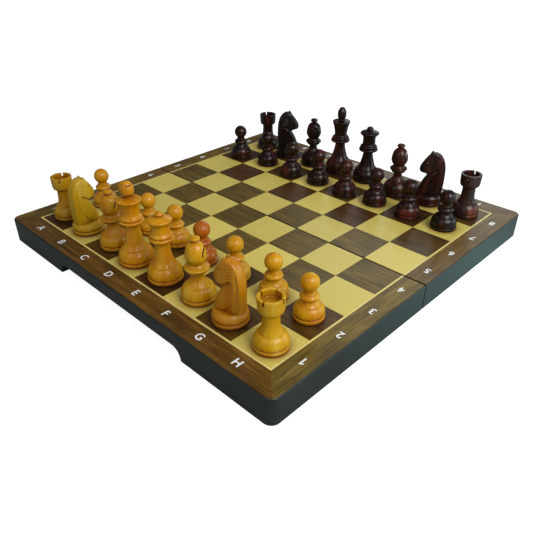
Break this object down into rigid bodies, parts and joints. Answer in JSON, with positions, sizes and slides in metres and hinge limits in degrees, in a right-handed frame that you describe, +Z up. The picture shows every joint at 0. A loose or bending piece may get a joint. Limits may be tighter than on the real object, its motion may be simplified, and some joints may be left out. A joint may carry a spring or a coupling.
{
  "type": "folding chess set",
  "caption": "Folding wooden chess case with an inlaid board on its outside, a hand-hold cut in the rim, two lined trays inside, and turned Staunton-style pieces set out for play.",
  "frame": {"origin": "centre of the open board, on the plane of the rims that stand on the table, on the fold line", "axes": "+X along the files from A to H, +Y along the ranks from 1 to 8, +Z up from the table; the fold line runs along X"},
  "size_m": [0.384, 0.384, 0.106],
  "materials": {
    "boxwood": "gloss lacquer over golden boxwood",
    "rosewood": "gloss lacquer over dark red-brown wood",
    "black_lacquer": "satin black lacquer on solid wood",
    "plywood": "sanded birch plywood",
    "walnut_veneer": "satin lacquered walnut veneer",
    "maple_veneer": "satin lacquered maple veneer",
    "felt": "green wool felt",
    "brass": "polished brass",
    "magnet_steel": "nickel-plated disc magnet"
  },
  "bodies": {
    "front_half": {"front_outer_rail": "black_lacquer", "front_left_rail": "black_lacquer", "front_right_rail": "black_lacquer", "front_hinge_rail": "black_lacquer", "front_top_panel": "plywood", "front_playing_field_veneer": "maple_veneer", "front_stringing": "maple_veneer", "front_border_veneer": "walnut_veneer", "front_tray_lining": "felt", "front_left_magnet": "magnet_steel", "front_right_magnet": "magnet_steel", "front_left_hinge_leaf": "brass", "front_right_hinge_leaf": "brass", "left_hinge_pin": "brass", "right_hinge_pin": "brass"},
    "back_half": {"back_outer_rail": "black_lacquer", "back_left_rail": "black_lacquer", "back_right_rail": "black_lacquer", "back_hinge_rail": "black_lacquer", "back_top_panel": "plywood", "back_playing_field_veneer": "maple_veneer", "back_stringing": "maple_veneer", "back_border_veneer": "walnut_veneer", "back_tray_lining": "felt", "back_left_magnet": "magnet_steel", "back_right_magnet": "magnet_steel", "back_left_hinge_leaf": "brass", "back_right_hinge_leaf": "brass"},
    "light_rook_a": {"light_rook_a": "boxwood"},
    "light_knight_b": {"light_knight_b": "boxwood"},
    "light_bishop_c": {"light_bishop_c": "boxwood"},
    "light_king": {"light_king": "boxwood"},
    "light_queen": {"light_queen": "boxwood"},
    "light_bishop_f": {"light_bishop_f": "boxwood"},
    "light_knight_g": {"light_knight_g": "boxwood"},
    "light_rook_h": {"light_rook_h": "boxwood"},
    "light_pawn_a": {"light_pawn_a": "boxwood"},
    "light_pawn_b": {"light_pawn_b": "boxwood"},
    "light_pawn_c": {"light_pawn_c": "boxwood"},
    "light_pawn_d": {"light_pawn_d": "boxwood"},
    "light_pawn_e": {"light_pawn_e": "boxwood"},
    "light_pawn_f": {"light_pawn_f": "boxwood"},
    "light_pawn_g": {"light_pawn_g": "boxwood"},
    "light_pawn_h": {"light_pawn_h": "boxwood"},
    "dark_rook_a": {"dark_rook_a": "rosewood"},
    "dark_knight_b": {"dark_knight_b": "rosewood"},
    "dark_bishop_c": {"dark_bishop_c": "rosewood"},
    "dark_king": {"dark_king": "rosewood"},
    "dark_queen": {"dark_queen": "rosewood"},
    "dark_bishop_f": {"dark_bishop_f": "rosewood"},
    "dark_knight_g": {"dark_knight_g": "rosewood"},
    "dark_rook_h": {"dark_rook_h": "rosewood"},
    "dark_pawn_a": {"dark_pawn_a": "rosewood"},
    "dark_pawn_b": {"dark_pawn_b": "rosewood"},
    "dark_pawn_c": {"dark_pawn_c": "rosewood"},
    "dark_pawn_d": {"dark_pawn_d": "rosewood"},
    "dark_pawn_e": {"dark_pawn_e": "rosewood"},
    "dark_pawn_f": {"dark_pawn_f": "rosewood"},
    "dark_pawn_g": {"dark_pawn_g": "rosewood"},
    "dark_pawn_h": {"dark_pawn_h": "rosewood"}
  },
  "joints": [
    {"name": "board_fold", "type": "hinge", "parent": "front_half", "child": "back_half", "pos_m": [0, 0, -0.00015], "axis": [-1, 0, 0], "range_deg": [0, 180]},
    {"name": "light_rook_a_lift", "type": "slide", "parent": "front_half", "child": "light_rook_a", "axis": [0, 0, 1], "range_m": [0, 0.1]},
    {"name": "light_knight_b_lift", "type": "slide", "parent": "front_half", "child": "light_knight_b", "axis": [0, 0, 1], "range_m": [0, 0.1]},
    {"name": "light_bishop_c_lift", "type": "slide", "parent": "front_half", "child": "light_bishop_c", "axis": [0, 0, 1], "range_m": [0, 0.1]},
    {"name": "light_king_lift", "type": "slide", "parent": "front_half", "child": "light_king", "axis": [0, 0, 1], "range_m": [0, 0.1]},
    {"name": "light_queen_lift", "type": "slide", "parent": "front_half", "child": "light_queen", "axis": [0, 0, 1], "range_m": [0, 0.1]},
    {"name": "light_bishop_f_lift", "type": "slide", "parent": "front_half", "child": "light_bishop_f", "axis": [0, 0, 1], "range_m": [0, 0.1]},
    {"name": "light_knight_g_lift", "type": "slide", "parent": "front_half", "child": "light_knight_g", "axis": [0, 0, 1], "range_m": [0, 0.1]},
    {"name": "light_rook_h_lift", "type": "slide", "parent": "front_half", "child": "light_rook_h", "axis": [0, 0, 1], "range_m": [0, 0.1]},
    {"name": "light_pawn_a_lift", "type": "slide", "parent": "front_half", "child": "light_pawn_a", "axis": [0, 0, 1], "range_m": [0, 0.1]},
    {"name": "light_pawn_b_lift", "type": "slide", "parent": "front_half", "child": "light_pawn_b", "axis": [0, 0, 1], "range_m": [0, 0.1]},
    {"name": "light_pawn_c_lift", "type": "slide", "parent": "front_half", "child": "light_pawn_c", "axis": [0, 0, 1], "range_m": [0, 0.1]},
    {"name": "light_pawn_d_lift", "type": "slide", "parent": "front_half", "child": "light_pawn_d", "axis": [0, 0, 1], "range_m": [0, 0.1]},
    {"name": "light_pawn_e_lift", "type": "slide", "parent": "front_half", "child": "light_pawn_e", "axis": [0, 0, 1], "range_m": [0, 0.1]},
    {"name": "light_pawn_f_lift", "type": "slide", "parent": "front_half", "child": "light_pawn_f", "axis": [0, 0, 1], "range_m": [0, 0.1]},
    {"name": "light_pawn_g_lift", "type": "slide", "parent": "front_half", "child": "light_pawn_g", "axis": [0, 0, 1], "range_m": [0, 0.1]},
    {"name": "light_pawn_h_lift", "type": "slide", "parent": "front_half", "child": "light_pawn_h", "axis": [0, 0, 1], "range_m": [0, 0.1]},
    {"name": "dark_rook_a_lift", "type": "slide", "parent": "back_half", "child": "dark_rook_a", "axis": [0, 0, 1], "range_m": [0, 0.1]},
    {"name": "dark_knight_b_lift", "type": "slide", "parent": "back_half", "child": "dark_knight_b", "axis": [0, 0, 1], "range_m": [0, 0.1]},
    {"name": "dark_bishop_c_lift", "type": "slide", "parent": "back_half", "child": "dark_bishop_c", "axis": [0, 0, 1], "range_m": [0, 0.1]},
    {"name": "dark_king_lift", "type": "slide", "parent": "back_half", "child": "dark_king", "axis": [0, 0, 1], "range_m": [0, 0.1]},
    {"name": "dark_queen_lift", "type": "slide", "parent": "back_half", "child": "dark_queen", "axis": [0, 0, 1], "range_m": [0, 0.1]},
    {"name": "dark_bishop_f_lift", "type": "slide", "parent": "back_half", "child": "dark_bishop_f", "axis": [0, 0, 1], "range_m": [0, 0.1]},
    {"name": "dark_knight_g_lift", "type": "slide", "parent": "back_half", "child": "dark_knight_g", "axis": [0, 0, 1], "range_m": [0, 0.1]},
    {"name": "dark_rook_h_lift", "type": "slide", "parent": "back_half", "child": "dark_rook_h", "axis": [0, 0, 1], "range_m": [0, 0.1]},
    {"name": "dark_pawn_a_lift", "type": "slide", "parent": "back_half", "child": "dark_pawn_a", "axis": [0, 0, 1], "range_m": [0, 0.1]},
    {"name": "dark_pawn_b_lift", "type": "slide", "parent": "back_half", "child": "dark_pawn_b", "axis": [0, 0, 1], "range_m": [0, 0.1]},
    {"name": "dark_pawn_c_lift", "type": "slide", "parent": "back_half", "child": "dark_pawn_c", "axis": [0, 0, 1], "range_m": [0, 0.1]},
    {"name": "dark_pawn_d_lift", "type": "slide", "parent": "back_half", "child": "dark_pawn_d", "axis": [0, 0, 1], "range_m": [0, 0.1]},
    {"name": "dark_pawn_e_lift", "type": "slide", "parent": "back_half", "child": "dark_pawn_e", "axis": [0, 0, 1], "range_m": [0, 0.1]},
    {"name": "dark_pawn_f_lift", "type": "slide", "parent": "back_half", "child": "dark_pawn_f", "axis": [0, 0, 1], "range_m": [0, 0.1]},
    {"name": "dark_pawn_g_lift", "type": "slide", "parent": "back_half", "child": "dark_pawn_g", "axis": [0, 0, 1], "range_m": [0, 0.1]},
    {"name": "dark_pawn_h_lift", "type": "slide", "parent": "back_half", "child": "dark_pawn_h", "axis": [0, 0, 1], "range_m": [0, 0.1]}
  ]
}
